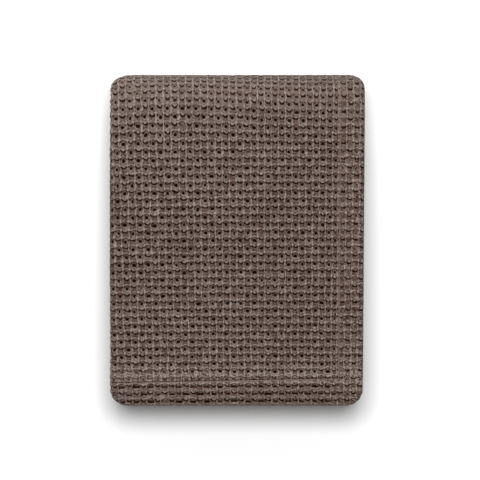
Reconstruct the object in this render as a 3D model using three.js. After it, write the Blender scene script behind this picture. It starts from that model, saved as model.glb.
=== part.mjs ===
import * as THREE from 'three';

// A folded honeycomb-weave cotton bedspread: the whole sheet as one closed solid, at its real size.
// Millimetres. +X is across, with the two side hems at +X. +Y points to the round fold at the back.
// +Z is up, and the folded sheet lies on its flat underside at Z = 0.

// Driving dimensions of the folded shape and of its cloth.
const foldedWidth = 341;
const foldedLength = 443.5;
const sheetThickness = 2.4;
const layerPitch = 3.05;
const hemWidth = 34;
const hemGrooveWidth = 3;
const hemGrooveDepth = 0.6;
const hemEdgeRound = 1.1;

// First the sheet is folded in half and then in thirds across, which makes a strip of six layers.
// It runs through them in this order. Level 0 is the face side, and both side hems end at +X.
const layerLevels = [0, 5, 2, 3, 4, 1];

// Then the strip is folded in thirds, back and forth, and last in half, which makes the round fold.
// It runs through the stack in this order. Level 0 is the top. front is how far a run's front end or
// fold stays behind the front edge, and left and right how far its sides stay inside the outline.
const stripRuns = [
  { level: 0, front: 0.0, left: 0.0, right: 0.0 },
  { level: 5, front: 2.0, left: 1.2, right: 0.8 },
  { level: 4, front: 2.0, left: 2.4, right: 2.2 },
  { level: 1, front: 3.4, left: 1.6, right: 1.4 },
  { level: 2, front: 3.4, left: 0.9, right: 2.6 },
  { level: 3, front: 6.5, left: 2.8, right: 1.8 },
];

// Plan radii of the four corners, and how much narrower the right side is at the front.
const cornerRadius = { leftFront: 18, leftBack: 22, rightFront: 17, rightBack: 19 };
const rightTaper = 3.2;

// How long each turn is for its height, and how far the inner folds stay inside the side hems.
const stretch = { left: 1.65, right: 1.25, back: 0.95, front: 0.85 };
const rightFoldInset = 3.5;

// The stack slumps towards its rims by a share of its height, over a width, and its top swells a little.
const slump = {
  left: { share: 0.034, width: 36 },
  right: { share: 0.02, width: 36 },
  front: { share: 0.03, width: 15 },
};
const swell = { height: 0.7, acrossWave: 520, alongWave: 610, acrossStart: 52, alongStart: 91.5 };

// Where the straight runs are divided, and into how many steps a turn is, by the levels that it spans.
const shoulderInset = 36;
const hemmedEndStops = [0, 2.4, 6, 11, 18];
const foldStop = 40;
const middleStops = [-100, 30];
const sideTurnSteps = { 5: 6, 3: 4, 1: 3 };
const backTurnSteps = { 5: 8, 3: 8, 1: 4 };
const frontTurnSteps = { 1: 5 };

const levels = layerLevels.length;
const middleLevel = (levels - 1) / 2;
const stripPitch = levels * layerPitch;
const halfSheet = sheetThickness / 2;
const halfStrip = middleLevel * layerPitch + halfSheet;
const totalHeight = 2 * (middleLevel * stripPitch + halfStrip);
const edge = {
  left: -foldedWidth / 2,
  right: foldedWidth / 2,
  front: -foldedLength / 2,
  back: foldedLength / 2,
};

// How far a turn reaches past its centre, for the largest radius of the sheet's or strip's middle in it.
const leftReach = stretch.left * halfStrip;
const rightReach = stretch.right * (1.5 * layerPitch + halfSheet);
const backReach = stretch.back * (middleLevel * stripPitch + halfStrip);
const frontReach = stretch.front * (stripPitch / 2 + halfStrip);

// A half turn between two levels, as places with a direction. With an offset w from the middle of what
// is folded, a point of it is (along + alongBy * w, height + heightBy * w), where along counts from the
// turn's centre to its outside. It is a circle of the radius plus or minus w, stretched along.
function halfTurn({ from, to, pitch, stretched, steps, outerSide }) {
  const radius = Math.abs(to - from) * pitch / 2;
  const middle = (middleLevel - (from + to) / 2) * pitch;
  const places = [];
  for (let i = 0; i <= steps; i++) {
    const angle = Math.PI * (to > from ? i : steps - i) / steps;
    const sine = stretched * Math.sin(angle);
    places.push({
      along: radius * sine,
      height: middle + radius * Math.cos(angle),
      alongBy: outerSide * sine,
      heightBy: outerSide * Math.cos(angle),
    });
  }
  return places;
}

// The sheet's line through the strip, from the outer side hem to the inner one. Each place lies inset
// from the strip's left or right outline, at a height above the strip's middle.
function stripSection() {
  const line = [];
  const flat = (level, towardsLeft, side, inset, groove = 0) => line.push({
    side,
    inset,
    insetBy: 0,
    height: (middleLevel - level) * layerPitch,
    heightBy: towardsLeft ? 1 : -1,
    groove,
  });
  const sideHem = (level, towardsLeft) => {
    const stops = [
      { inset: hemEdgeRound, groove: 0 },
      { inset: hemWidth - hemGrooveWidth / 2, groove: 0 },
      { inset: hemWidth, groove: hemGrooveDepth },
      { inset: hemWidth + hemGrooveWidth / 2, groove: 0 },
    ];
    if (!towardsLeft) stops.reverse();
    for (const { inset, groove } of stops) flat(level, towardsLeft, 'right', inset, groove);
  };
  const turn = (from, to, side) => {
    const reach = side === 'left' ? leftReach : rightReach;
    const inner = side === 'left' ? 0 : rightFoldInset;
    const outerSide = (side === 'left') === (to > from) ? 1 : -1;
    const steps = sideTurnSteps[Math.abs(to - from)];
    const shape = { from, to, pitch: layerPitch, stretched: stretch[side], steps, outerSide };
    for (const { along, height, alongBy, heightBy } of halfTurn(shape)) {
      line.push({ side, inset: inner + reach - along, insetBy: -alongBy, height, heightBy, groove: 0 });
    }
  };
  layerLevels.forEach((level, run) => {
    const towardsLeft = run % 2 === 0;
    const last = run === levels - 1;
    const rightPart = () => {
      if (run === 0 || last) sideHem(level, towardsLeft);
      else flat(level, towardsLeft, 'right', shoulderInset);
    };
    if (towardsLeft) rightPart();
    flat(level, towardsLeft, 'left', shoulderInset);
    if (!towardsLeft) rightPart();
    if (!last) turn(level, layerLevels[run + 1], towardsLeft ? 'left' : 'right');
  });
  return line;
}

// The strip's line through the stack, from the top run's front end to the inner front end. rim is the y
// that the strip's outermost layer reaches there, and bend the sine of a turn's angle, with the sign of
// the strip's outer side. thin is how much a hemmed end's edge is rounded off, groove the depth of the
// end hem's seam, and left and right how far the strip's sides stay inside the outline.
function stackPath() {
  const path = [];
  const flat = (run, towardsBack, y, thin = 0, groove = 0) => path.push({
    y,
    yBy: 0,
    z: (middleLevel - run.level) * stripPitch,
    zBy: towardsBack ? 1 : -1,
    rim: y,
    bend: 0,
    thin,
    groove,
    left: run.left,
    right: run.right,
  });
  const hemmedEnd = (run, towardsBack) => {
    const stops = hemmedEndStops.map((inset) => ({ inset, thin: inset === 0 ? hemEdgeRound : 0, groove: 0 }));
    stops.push({ inset: hemWidth - hemGrooveWidth / 2, thin: 0, groove: 0 });
    stops.push({ inset: hemWidth, thin: 0, groove: hemGrooveDepth });
    stops.push({ inset: hemWidth + hemGrooveWidth / 2, thin: 0, groove: 0 });
    if (!towardsBack) stops.reverse();
    for (const { inset, thin, groove } of stops) {
      flat(run, towardsBack, edge.front + run.front + inset, thin, groove);
    }
  };
  const turn = (run, next, atBack) => {
    const span = Math.abs(next.level - run.level);
    const steps = (atBack ? backTurnSteps : frontTurnSteps)[span];
    const outerSide = atBack === (next.level > run.level) ? 1 : -1;
    const stretched = atBack ? stretch.back : stretch.front;
    const outwards = atBack ? 1 : -1;
    const centre = atBack ? edge.back - backReach : edge.front + run.front + frontReach;
    const shape = { from: run.level, to: next.level, pitch: stripPitch, stretched, steps, outerSide };
    halfTurn(shape).forEach(({ along, height, alongBy, heightBy }, i) => path.push({
      y: centre + outwards * along,
      yBy: outwards * alongBy,
      z: height,
      zBy: heightBy,
      rim: centre + outwards * (along + Math.abs(alongBy) * halfStrip),
      bend: alongBy / stretched,
      thin: 0,
      groove: 0,
      left: run.left + (next.left - run.left) * i / steps,
      right: run.right + (next.right - run.right) * i / steps,
    }));
  };
  stripRuns.forEach((run, index) => {
    const towardsBack = index % 2 === 0;
    const last = index === stripRuns.length - 1;
    const frontPart = () => {
      if (index === 0 || last) hemmedEnd(run, towardsBack);
      else flat(run, towardsBack, edge.front + run.front + foldStop);
    };
    const middle = towardsBack ? middleStops : [...middleStops].reverse();
    if (towardsBack) frontPart();
    for (const y of middle) flat(run, towardsBack, y);
    if (!towardsBack) frontPart();
    if (!last) turn(run, stripRuns[index + 1], towardsBack);
  });
  return path;
}

// How far a round corner draws a side in, at a distance from the end that the corner is at.
function cornerInset(distance, radius) {
  const into = Math.min(Math.max(radius - distance, 0), radius);
  return radius - Math.sqrt(radius * radius - into * into);
}

// The x of a place that is inset from the left or right outline, at a height n above the strip's middle.
// In a turn the corner draws the outermost layer in and leaves the innermost where it is.
function acrossAt(side, inset, station, n) {
  const toFront = station.rim - edge.front;
  const toBack = edge.back - station.rim;
  const frontCorner = cornerInset(toFront, cornerRadius[`${side}Front`]);
  const backCorner = cornerInset(toBack, cornerRadius[`${side}Back`]);
  const drawnIn = 1 - (Math.abs(station.bend) - station.bend * n / halfStrip) / 2;
  const corners = (frontCorner + backCorner) * drawnIn;
  if (side === 'left') return edge.left + station.left + corners + inset;
  const taper = rightTaper * toBack / foldedLength;
  return edge.right - station.right - taper - corners - inset;
}

// The height above the surface that the stack lies on: lower at the rims, and swelling a little.
function settledHeight(x, y, z) {
  const height = z + totalHeight / 2;
  const rim = (distance, { share, width }) => share * Math.max(1 - Math.max(distance, 0) / width, 0) ** 2;
  const lower = rim(x - edge.left, slump.left) + rim(edge.right - x, slump.right)
    + rim(y - edge.front, slump.front);
  const across = Math.sin(2 * Math.PI * (x + swell.acrossStart) / swell.acrossWave);
  const along = Math.sin(2 * Math.PI * (y + swell.alongStart) / swell.alongWave);
  return height * (1 - lower) + swell.height * across * along * height / totalHeight;
}

// The point of the sheet at a place of its section and a place of the path, offset from its middle.
function sheetPoint(place, station, offset) {
  const n = place.height + place.heightBy * offset;
  const y = station.y + station.yBy * n;
  const z = station.z + station.zBy * n;
  const x = acrossAt(place.side, place.inset + place.insetBy * offset, station, n);
  return [x, y, settledHeight(x, y, z)];
}

// The whole sheet. Each station of the path carries one ring round the section: the face side, the
// inner hem's edge, the back side in reverse and the outer hem's edge.
function foldedSheet() {
  const section = stripSection();
  const path = stackPath();
  const count = section.length;
  const ring = 2 * count + 2;
  const positions = [];
  const hemTip = (place) => ({ ...place, inset: place.inset - hemEdgeRound });
  for (const station of path) {
    const half = halfSheet - station.thin / 2;
    for (const place of section) {
      positions.push(...sheetPoint(place, station, half - Math.max(place.groove, station.groove)));
    }
    positions.push(...sheetPoint(hemTip(section[count - 1]), station, 0));
    for (const place of [...section].reverse()) positions.push(...sheetPoint(place, station, -half));
    positions.push(...sheetPoint(hemTip(section[0]), station, 0));
  }
  const triangles = [];
  for (let j = 0; j + 1 < path.length; j++) {
    for (let i = 0; i < ring; i++) {
      const here = j * ring + i;
      const beside = j * ring + (i + 1) % ring;
      triangles.push(here, here + ring, beside + ring, here, beside + ring, beside);
    }
  }
  const closeEnd = (first, facesFront) => {
    const triangle = (a, b, c) => {
      if (facesFront) triangles.push(first + a, first + c, first + b);
      else triangles.push(first + a, first + b, first + c);
    };
    const opposite = (i) => 2 * count - i;
    for (let i = 0; i + 1 < count; i++) {
      triangle(i, opposite(i), opposite(i + 1));
      triangle(i, opposite(i + 1), i + 1);
    }
    triangle(0, ring - 1, opposite(0));
    triangle(count - 1, opposite(count - 1), count);
  };
  closeEnd(0, true);
  closeEnd((path.length - 1) * ring, false);
  const geometry = new THREE.BufferGeometry();
  geometry.setAttribute('position', new THREE.Float32BufferAttribute(positions, 3));
  geometry.setIndex(triangles);
  geometry.computeBoundingBox();
  const { min, max } = geometry.boundingBox;
  geometry.translate(-(min.x + max.x) / 2, -(min.y + max.y) / 2, -min.z);
  geometry.computeVertexNormals();
  return geometry;
}

const knobblyCotton = new THREE.MeshStandardMaterial({ color: 0x67594f, roughness: 0.95, metalness: 0 });

const bedspread = new THREE.Mesh(foldedSheet(), knobblyCotton);
bedspread.name = 'bedspread';

const object = new THREE.Group();
object.name = 'folded_bedspread';
object.add(bedspread);

export default object;
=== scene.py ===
# %% [markdown]
# A folded bedspread of knobbly honeycomb cotton, seen from straight above. The real one is a single
# woven cloth with sewn hems, folded in six across and in six along, so that 36 layers lie in a stack with
# one thick round fold at its back. This lesson builds the cloth twice: once as the whole folded sheet,
# thin and smooth, and once more as woven skins with real cells, only where the cloth can be seen. The
# folded sheet keeps the layers true, and the skins keep the number of faces low enough to render.

import math
from types import SimpleNamespace

import bpy
import numpy as np
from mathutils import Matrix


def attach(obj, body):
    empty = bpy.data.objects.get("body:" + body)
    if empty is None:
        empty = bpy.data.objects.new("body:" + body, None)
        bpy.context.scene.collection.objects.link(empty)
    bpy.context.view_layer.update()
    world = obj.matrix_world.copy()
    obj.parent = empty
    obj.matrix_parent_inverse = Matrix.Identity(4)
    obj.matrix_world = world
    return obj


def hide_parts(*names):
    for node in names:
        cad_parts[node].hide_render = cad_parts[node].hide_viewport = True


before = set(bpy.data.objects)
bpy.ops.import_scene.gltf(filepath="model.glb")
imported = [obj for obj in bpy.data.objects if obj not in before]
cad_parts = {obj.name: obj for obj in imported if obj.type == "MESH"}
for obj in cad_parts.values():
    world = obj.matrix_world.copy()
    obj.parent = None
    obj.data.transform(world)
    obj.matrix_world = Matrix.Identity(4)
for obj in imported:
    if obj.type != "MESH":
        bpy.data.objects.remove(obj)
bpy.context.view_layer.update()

# %% [markdown]
# A folded cloth could be a block with lines on its sides, but then every side view would look wrong. So
# the folding itself is described, in real sizes and in metres. Across, the cloth passes through six
# levels of one strip, counted down from the top. Along, the strip passes through six runs of its own:
# each has its level, and how many millimetres its front end and its two sides lie inside the outline.

# %% Sizes of the folded cloth
MM = 0.001
FOLDED_WIDTH = 341 * MM
FOLDED_LENGTH = 443.5 * MM
SHEET_THICKNESS = 2.4 * MM
LAYER_PITCH = 3.05 * MM
LAYER_LEVELS = (0, 5, 2, 3, 4, 1)
STRIP_RUNS = (
    {"level": 0, "front": 0.0, "left": 0.0, "right": 0.0},
    {"level": 5, "front": 2.0, "left": 1.2, "right": 0.8},
    {"level": 4, "front": 2.0, "left": 2.4, "right": 2.2},
    {"level": 1, "front": 3.4, "left": 1.6, "right": 1.4},
    {"level": 2, "front": 3.4, "left": 0.9, "right": 2.6},
    {"level": 3, "front": 6.5, "left": 2.8, "right": 1.8},
)

LEVELS = len(LAYER_LEVELS)
MIDDLE_LEVEL = (LEVELS - 1) / 2
STRIP_PITCH = LEVELS * LAYER_PITCH
HALF_SHEET = SHEET_THICKNESS / 2
HALF_STRIP = MIDDLE_LEVEL * LAYER_PITCH + HALF_SHEET
TOTAL_HEIGHT = 2 * (MIDDLE_LEVEL * STRIP_PITCH + HALF_STRIP)
EDGE_LEFT, EDGE_RIGHT = -FOLDED_WIDTH / 2, FOLDED_WIDTH / 2
EDGE_FRONT, EDGE_BACK = -FOLDED_LENGTH / 2, FOLDED_LENGTH / 2
print("stack height in mm:", round(TOTAL_HEIGHT / MM, 2))

# %% [markdown]
# A fold is a half turn between two levels. What is folded keeps its thickness, so the inside and the
# outside of a turn are circles about one centre, stretched a little sideways because soft cloth bulges.
# A bent modifier or a simulation could make such turns too, but a formula keeps every layer apart from
# the next. A line of the cloth is a dict of equally long arrays, so whole lines are cut and joined.

# %% Lines of the cloth
def spaced(first, last, step):
    """Values from first to last, evenly spaced, no further apart than step."""
    count = max(int(math.ceil(abs(last - first) / step)), 1)
    return np.linspace(first, last, count + 1)


def joined(lines):
    """One line from several, end to end."""
    return {name: np.concatenate([line[name] for line in lines]) for name in lines[0]}


def backwards(line):
    """The same line from its other end."""
    return {name: values[::-1] for name, values in line.items()}


print("a metre in steps of at most 0.3:", [round(float(v), 2) for v in spaced(0, 1, 0.3)])

# %% Half turns
FEWEST_STEPS = 6
STRETCH = {"left": 1.65, "right": 1.25, "back": 0.95, "front": 0.85}
WIDEST_RIGHT_TURN = 3
LEFT_REACH = STRETCH["left"] * HALF_STRIP
RIGHT_REACH = STRETCH["right"] * (WIDEST_RIGHT_TURN / 2 * LAYER_PITCH + HALF_SHEET)
BACK_REACH = STRETCH["back"] * (MIDDLE_LEVEL * STRIP_PITCH + HALF_STRIP)
FRONT_REACH = STRETCH["front"] * (STRIP_PITCH / 2 + HALF_STRIP)


def half_turn(first, last, pitch, stretched, step, outer_side):
    """A half circle between two levels, without its ends, which are the ends of the straight stretches.

    The way along and the height are radius * (stretched * sine, cosine) of the angle, about the middle.
    An offset from the line's middle moves a place by outer_side * (stretched * sine, cosine)."""
    radius = abs(last - first) * pitch / 2
    middle = (MIDDLE_LEVEL - (first + last) / 2) * pitch
    count = max(int(math.ceil(math.pi * radius / step)), FEWEST_STEPS)
    angle = np.linspace(0, math.pi, count + 1)[1:-1]
    if last < first:
        angle = angle[::-1]
    sine = stretched * np.sin(angle)
    cosine = np.cos(angle)
    return radius * sine, middle + radius * cosine, outer_side * sine, outer_side * cosine


reaches = (LEFT_REACH, RIGHT_REACH, BACK_REACH, FRONT_REACH)
print("folds reach out in mm, left, right, back, front:", [round(reach / MM, 1) for reach in reaches])

# %% [markdown]
# Across, the cloth's line runs through six layers, back and forth. A maker halves the cloth and folds it
# in three, so both side hems end up on the right. Each place on the line lies inset from the left or the
# right outline, and rightness says how much it follows the right one, so that one line serves a stack
# whose sides aren't straight. Places are close together near the sides, where the cloth bends.

# %% Straight layers
FINE_STEP = 1.0 * MM
HEM_EDGE_ROUND = 1.1 * MM
RIGHT_FOLD_INSET = 3.5 * MM
SHOULDER = 36 * MM


def straight_layer(run, level, flat_step):
    """Places along one layer, at the level's height, from right to left in every other run."""
    hemmed = run in (0, LEVELS - 1)
    right_end = HEM_EDGE_ROUND if hemmed else RIGHT_FOLD_INSET + RIGHT_REACH
    near_right = spaced(right_end, SHOULDER, flat_step)
    between = spaced(1, 0, 2 * flat_step / (FOLDED_WIDTH - 2 * SHOULDER))[1:-1]
    near_left = spaced(SHOULDER, LEFT_REACH, flat_step)
    inset = np.concatenate([near_right, np.full(len(between), SHOULDER), near_left])
    rightness = np.concatenate([np.ones(len(near_right)), between, np.zeros(len(near_left))])
    blank = np.zeros(len(inset))
    towards_left = run % 2 == 0
    line = {
        "rightness": rightness,
        "inset": inset,
        "inset_by": blank,
        "height": blank + (MIDDLE_LEVEL - level) * LAYER_PITCH,
        "height_by": blank + (1 if towards_left else -1),
        "run": blank + run,
    }
    return line if towards_left else backwards(line)


print("places along the top layer:", len(straight_layer(0, 0, FINE_STEP)["run"]))

# %% Turns on the left and the right side
FINE_TURN_STEP = 0.25 * MM


def side_turn(run, step):
    """Places round the fold that ends one layer and starts the next, on the left or the right side."""
    first, last = LAYER_LEVELS[run], LAYER_LEVELS[run + 1]
    on_left = run % 2 == 0
    side = "left" if on_left else "right"
    reach = LEFT_REACH if on_left else RIGHT_REACH + RIGHT_FOLD_INSET
    outer_side = 1 if on_left == (last > first) else -1
    along, height, along_by, height_by = half_turn(
        first, last, LAYER_PITCH, STRETCH[side], step, outer_side
    )
    return {
        "rightness": np.full(len(along), 0.0 if on_left else 1.0),
        "inset": reach - along,
        "inset_by": -along_by,
        "height": height,
        "height_by": height_by,
        "run": np.full(len(along), run + 0.5),
    }


print("places round the left fold:", len(side_turn(0, FINE_TURN_STEP)["run"]))

# %% The cloth's whole line across
def strip_section(flat_step, turn_step):
    """The whole line across the strip, from the outer side hem to the inner one."""
    lines = []
    for run, level in enumerate(LAYER_LEVELS):
        lines.append(straight_layer(run, level, flat_step))
        if run + 1 < LEVELS:
            lines.append(side_turn(run, turn_step))
    return joined(lines)


def length_across(places):
    """Arc length along the face side, from the outer hem's edge, where the strip is full width."""
    left = EDGE_LEFT + places["inset"] + places["inset_by"] * HALF_SHEET
    right = EDGE_RIGHT - places["inset"] - places["inset_by"] * HALF_SHEET
    x = left + (right - left) * places["rightness"]
    height = places["height"] + places["height_by"] * HALF_SHEET
    return np.concatenate([[0], np.cumsum(np.hypot(np.diff(x), np.diff(height)))])


fine_places = strip_section(FINE_STEP, FINE_TURN_STEP)
fine_across = length_across(fine_places)
print("the cloth's line across in m:", round(fine_across[-1], 3), "in places:", len(fine_across))

# %% [markdown]
# Along, the folded strip is folded again in the same way: in three back and forth, and then in half, so
# that one thick fold at the back wraps all the others. Each station says where the strip's middle is,
# which way an offset moves it, how strongly it is bent, and how far its sides lie inside the outline.
# The two runs that end in a hem have rows close together at the end, where the plan's corners are round.

# %% Straight runs of the strip
END_ROUND = 18 * MM


def straight_run(index, run, flat_step):
    """Stations along one run of the strip, from front to back in every other run."""
    hemmed = index in (0, len(STRIP_RUNS) - 1)
    front = EDGE_FRONT + run["front"] * MM
    end = EDGE_BACK - BACK_REACH
    if hemmed:
        angle = spaced(0, math.pi / 2, flat_step / END_ROUND)
        near_front = front + END_ROUND * (1 - np.cos(angle))
        y = np.concatenate([near_front, spaced(front + END_ROUND, end, 2 * flat_step)[1:]])
    else:
        y = spaced(front + FRONT_REACH, end, 2 * flat_step)
    blank = np.zeros(len(y))
    towards_back = index % 2 == 0
    line = {
        "y": y,
        "y_by": blank,
        "z": blank + (MIDDLE_LEVEL - run["level"]) * STRIP_PITCH,
        "z_by": blank + (1 if towards_back else -1),
        "rim": y,
        "bend": blank,
        "left": blank + run["left"] * MM,
        "right": blank + run["right"] * MM,
        "run": blank + index,
    }
    return line if towards_back else backwards(line)


print("stations along the top run:", len(straight_run(0, STRIP_RUNS[0], FINE_STEP)["run"]))

# %% Turns at the back and the front
def end_turn(index, step):
    """Stations round the fold that ends one run and starts the next, at the back or the front."""
    run, following = STRIP_RUNS[index], STRIP_RUNS[index + 1]
    at_back = index % 2 == 0
    stretched = STRETCH["back"] if at_back else STRETCH["front"]
    outwards = 1 if at_back else -1
    outer_side = 1 if at_back == (following["level"] > run["level"]) else -1
    front_centre = EDGE_FRONT + run["front"] * MM + FRONT_REACH
    centre = EDGE_BACK - BACK_REACH if at_back else front_centre
    along, height, along_by, height_by = half_turn(
        run["level"], following["level"], STRIP_PITCH, stretched, step, outer_side
    )
    share = np.linspace(0, 1, len(along) + 2)[1:-1]
    return {
        "y": centre + outwards * along,
        "y_by": outwards * along_by,
        "z": height,
        "z_by": height_by,
        "rim": centre + outwards * (along + np.abs(along_by) * HALF_STRIP),
        "bend": along_by / stretched,
        "left": (run["left"] + (following["left"] - run["left"]) * share) * MM,
        "right": (run["right"] + (following["right"] - run["right"]) * share) * MM,
        "run": np.full(len(along), index + 0.5),
    }


print("stations round the back fold:", len(end_turn(0, 2 * FINE_TURN_STEP)["run"]))

# %% The strip's whole line along
def stack_path(flat_step, turn_step):
    """The whole line through the stack, from the top run's front end to the inner front end."""
    lines = []
    for index, run in enumerate(STRIP_RUNS):
        lines.append(straight_run(index, run, flat_step))
        if index + 1 < len(STRIP_RUNS):
            lines.append(end_turn(index, turn_step))
    return joined(lines)


def length_along(stations, n):
    """Arc length along the strip at a height n above its middle, from the top run's front end."""
    y = stations["y"] + stations["y_by"] * n
    z = stations["z"] + stations["z_by"] * n
    return np.concatenate([[0], np.cumsum(np.hypot(np.diff(y), np.diff(z)))])


fine_stations = stack_path(FINE_STEP, 2 * FINE_TURN_STEP)
fine_along = length_along(fine_stations, HALF_STRIP)
print("the strip's line along in m:", round(fine_along[-1], 3), "in stations:", len(fine_along))

# %% [markdown]
# A way along the strip has another length on its outside than on its inside, as the lanes of a running
# track do. So there are three measures of it, for skins on the outer face, the inner face and the sides.
# The sides' measure starts so that it agrees with the outer one where the strip leaves the back fold.

# %% Measures along the cloth
fine_inner = length_along(fine_stations, -HALF_STRIP)
fine_middle = length_along(fine_stations, 0)
first_straight = np.argmax(fine_stations["run"] >= 1)
fine_middle = fine_middle + fine_along[first_straight] - fine_middle[first_straight]


def resampled(line, lengths, wanted):
    """The line's values at the wanted arc lengths, each read off straight between its neighbours."""
    return {name: np.interp(wanted, lengths, values) for name, values in line.items()}


def across_range(run):
    """First and last arc length across of a straight layer (a whole run) or a fold (a half run)."""
    own = fine_across[np.isclose(fine_places["run"], run)]
    return own[0], own[-1]


def along_range(run, lengths=fine_along):
    """First and last arc length along of a straight run (a whole number) or a fold (a half one)."""
    own = lengths[np.isclose(fine_stations["run"], run)]
    return own[0], own[-1]


wrap_start, wrap_end = across_range(0.5)
right_start, right_end = across_range(1.5)
top_back, fold_end = along_range(0.5)
under_front, front_fold_end = along_range(1.5)
print("left fold across in mm:", [round(v / MM, 1) for v in (wrap_start, wrap_end)])
print("back fold along in mm:", [round(v / MM, 1) for v in (top_back, fold_end)])

# %% [markdown]
# One function gives every point of the cloth: a place across, a station along, and an offset from the
# middle of the cloth. In the real stack the corners are round, the right side runs in a little towards
# the front, soft layers sink towards the rims, and the top swells here and there by half a millimetre.
# All of that is worked into the formula, so the sheet and every skin over it are shaped alike.

# %% Round corners
CORNER_RADIUS = {"left": (23 * MM, 14 * MM), "right": (22 * MM, 18 * MM)}


def corner_inset(distance, radius):
    """How far a quarter circle draws a side in, at a distance from the end that the corner is at."""
    into = np.clip(radius - distance, 0, radius)
    return radius - np.sqrt(radius * radius - into * into)


def corner_insets(rim):
    """How far the round corners draw in the left and the right side, by where along the stack it is."""
    return {
        side: corner_inset(rim - EDGE_FRONT, front) + corner_inset(EDGE_BACK - rim, back)
        for side, (front, back) in CORNER_RADIUS.items()
    }


front_insets = corner_insets(np.array(EDGE_FRONT + 5 * MM))
print("sides drawn in 5 mm from the front, in mm:", {
    side: round(float(inset) / MM, 1) for side, inset in front_insets.items()
})

# %% Settling
SLUMP = {"left": (0.034, 36 * MM), "right": (0.02, 36 * MM), "front": (0.03, 15 * MM)}
SWELL_HEIGHT = 0.7 * MM
SWELL_ACROSS = (520 * MM, 52 * MM)
SWELL_ALONG = (610 * MM, 91.5 * MM)


def settled_height(x, y, z):
    """Height above the floor: the stack's own, less a share that grows as a square towards each rim.

    A slow swell is added, a sine across times a sine along, each a wave length and a shift."""
    height = z + TOTAL_HEIGHT / 2
    distances = {"left": x - EDGE_LEFT, "right": EDGE_RIGHT - x, "front": y - EDGE_FRONT}
    lower = 0
    for side, distance in distances.items():
        share, width = SLUMP[side]
        lower = lower + share * np.clip(1 - np.maximum(distance, 0) / width, 0, None) ** 2
    across = np.sin(2 * math.pi * (x + SWELL_ACROSS[1]) / SWELL_ACROSS[0])
    along = np.sin(2 * math.pi * (y + SWELL_ALONG[1]) / SWELL_ALONG[0])
    return height * (1 - lower) + SWELL_HEIGHT * across * along * height / TOTAL_HEIGHT


heights = [settled_height(x, 0.0, TOTAL_HEIGHT / 2) for x in (EDGE_LEFT, 0.0, EDGE_RIGHT)]
print("height at the left, in the middle and at the right in mm:", [round(h / MM, 1) for h in heights])

# %% A point of the cloth
RIGHT_TAPER = 3.2 * MM


def cloth_points(places, stations, offset):
    """Points of the cloth for all stations (rows) and places (columns), offset from its middle.

    The place gives the inset and the height in the strip, the station carries that height into the
    stack, and both outlines are blended by the place's rightness. Round a fold, the plan's corners draw
    the outermost layer in fully and the innermost not at all."""
    p = {name: values[None, :] for name, values in places.items()}
    s = {name: values[:, None] for name, values in stations.items()}
    n = p["height"] + p["height_by"] * offset
    y = s["y"] + s["y_by"] * n
    z = s["z"] + s["z_by"] * n
    drawn_in = 1 - (np.abs(s["bend"]) - s["bend"] * n / HALF_STRIP) / 2
    corner = {side: inset * drawn_in for side, inset in corner_insets(s["rim"]).items()}
    inset = p["inset"] + p["inset_by"] * offset
    taper = RIGHT_TAPER * (EDGE_BACK - s["rim"]) / FOLDED_LENGTH
    left = EDGE_LEFT + s["left"] + corner["left"] + inset
    right = EDGE_RIGHT - s["right"] - taper - corner["right"] - inset
    x = left + (right - left) * p["rightness"]
    return np.stack(np.broadcast_arrays(x, y, settled_height(x, y, z)), axis=-1)


rough_face = cloth_points(strip_section(13 * MM, 3 * MM), stack_path(13 * MM, 5 * MM), HALF_SHEET)
print("face of the cloth from, in mm:", [round(float(v) / MM, 1) for v in rough_face.min((0, 1))])
print("face of the cloth to, in mm:", [round(float(v) / MM, 1) for v in rough_face.max((0, 1))])

# %% [markdown]
# Meshes are made from whole arrays. Blender wants the points, the corners of all faces in one long list,
# and where each face starts in it. Two things ride along: the lattice number of each spot as a UV map,
# which threads can follow, and a point attribute with the tone of the colour, into which the light and
# shade of the weave are painted. The first block of faces is the one that is seen, so it is shaded smooth
# and the others flat.

# %% Meshes from arrays
def new_piece(name, points, blocks, uv, tone_and_painted_light):
    """A mesh object from points, blocks of (corner array, corners a face), and one value a point."""
    mesh = bpy.data.meshes.new(name)
    corners = np.concatenate([block.ravel() for block, size in blocks]).astype(np.int32)
    counts = [block.size // size for block, size in blocks]
    sizes = np.repeat([size for block, size in blocks], counts)
    starts = np.concatenate([[0], np.cumsum(sizes)[:-1]]).astype(np.int32)
    mesh.vertices.add(len(points))
    mesh.vertices.foreach_set("co", points.astype(np.float32).ravel())
    mesh.loops.add(len(corners))
    mesh.loops.foreach_set("vertex_index", corners)
    mesh.polygons.add(len(starts))
    mesh.polygons.foreach_set("loop_start", starts)
    mesh.polygons.foreach_set("use_smooth", np.arange(len(starts)) < counts[0])
    mesh.update(calc_edges=True)
    layer = mesh.uv_layers.new(name="weave")
    layer.data.foreach_set("uv", uv[corners].astype(np.float32).ravel())
    # The tone of each point, with the weave's light and shade painted into it on the woven skins.
    attribute = mesh.attributes.new("tone_and_painted_light", "FLOAT", "POINT")
    attribute.data.foreach_set("value", tone_and_painted_light.astype(np.float32))
    if mesh.validate():
        print("  mended", name)
    piece = bpy.data.objects.new(name, mesh)
    bpy.context.scene.collection.objects.link(piece)
    return piece


def quads(index, closed=False, flipped=False):
    """Corners of the quads between the rows and columns of a grid of point numbers.

    Each quad goes down its own column and back up the next one, so it faces along row x column. A closed
    grid's last column is followed by its first."""
    after = np.roll(index, -1, axis=-1)
    if not closed:
        index, after = index[..., :-1], after[..., :-1]
    a, b, c, d = index[..., :-1, :], after[..., :-1, :], after[..., 1:, :], index[..., 1:, :]
    return np.stack((a, b, c, d) if flipped else (a, d, c, b), axis=-1).reshape(-1, 4)


print("quads of a grid of 2 x 3 points:", quads(np.arange(6).reshape(2, 3)).tolist())
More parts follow.
